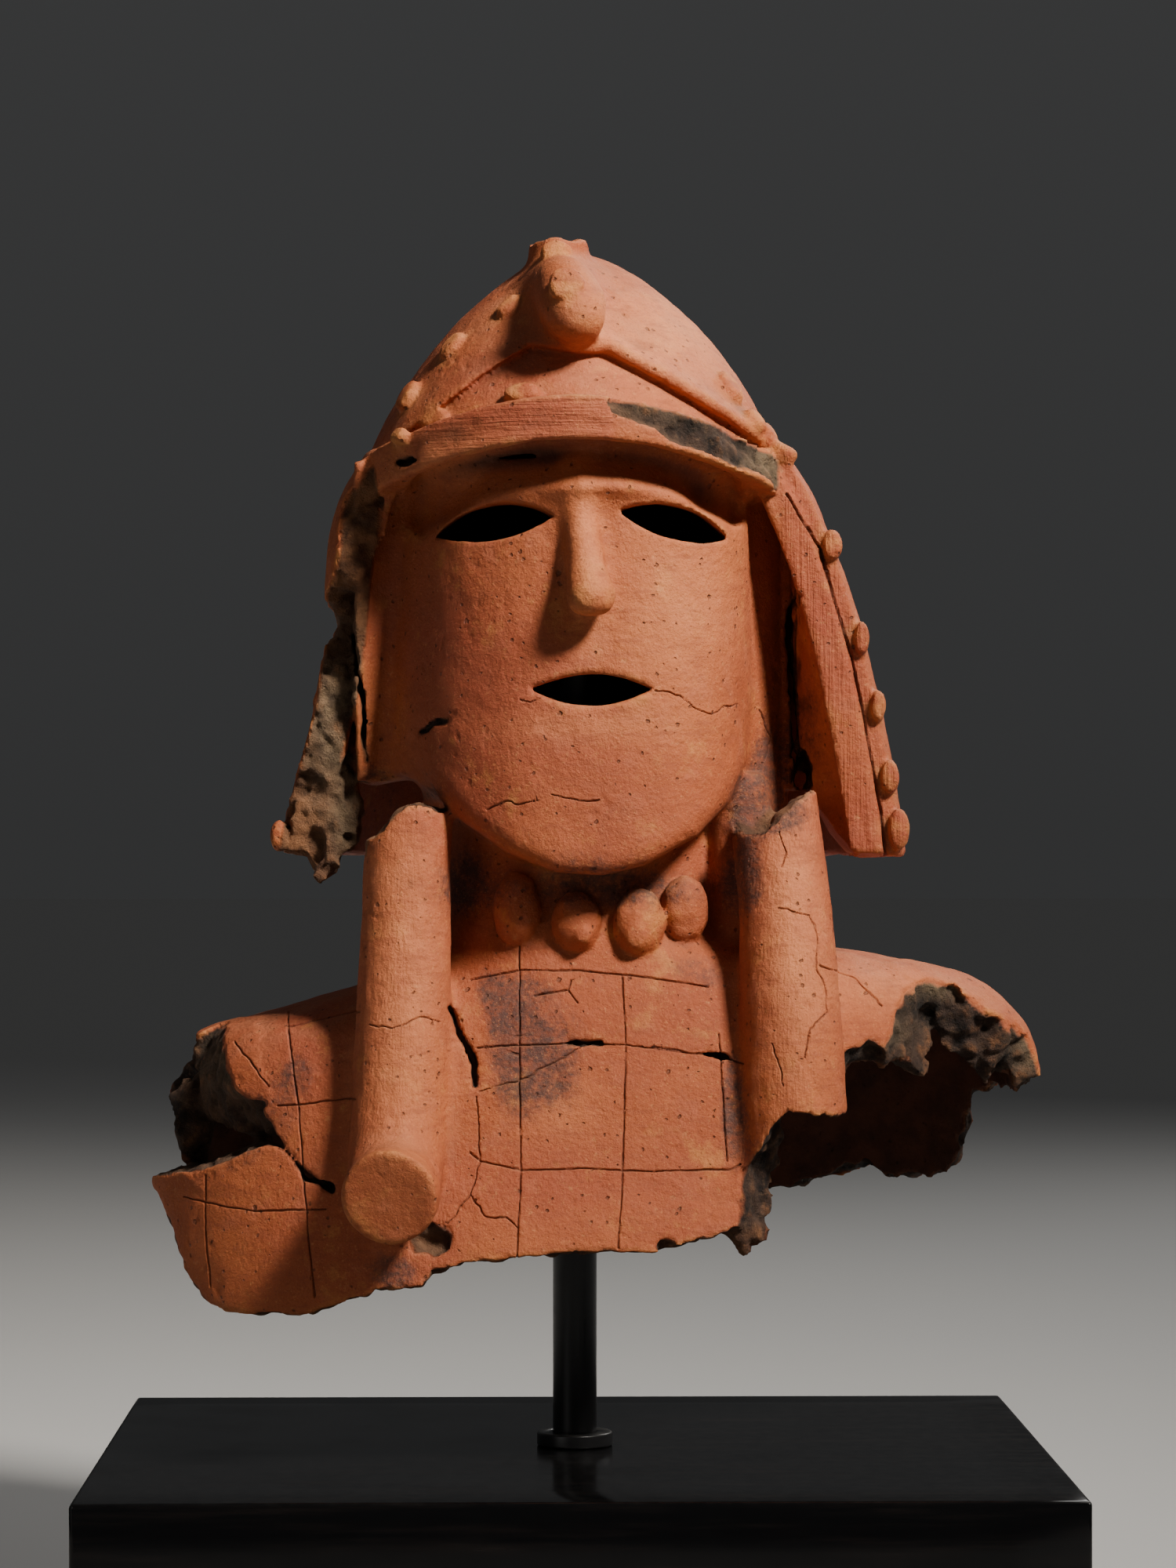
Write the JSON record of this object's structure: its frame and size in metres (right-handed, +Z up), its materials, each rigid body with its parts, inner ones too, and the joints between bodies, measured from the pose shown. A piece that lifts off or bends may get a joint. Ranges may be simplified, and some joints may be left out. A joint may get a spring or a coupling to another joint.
{
  "type": "haniwa warrior bust",
  "caption": "Hollow low-fired clay bust of a helmeted warrior with slit eyes and mouth, hair locks and broken shoulders, carried by a rod on a dark display block.",
  "frame": {"origin": "middle of the display block's underside", "axes": "+Z up, the face looks along -Y, +X is the figure's left hand"},
  "size_m": [0.291, 0.239, 0.4319],
  "materials": {
    "fired_clay": "unglazed orange earthenware, matt, worn, with grey-black smoke clouds and dark broken edges",
    "black_steel": "satin black",
    "black_lacquer": "glossy black lacquer"
  },
  "bodies": {
    "root": {"haniwa_figure": "fired_clay", "mount_rod": "black_steel", "rod_collar": "black_steel", "mount_block": "black_lacquer"}
  },
  "joints": []
}
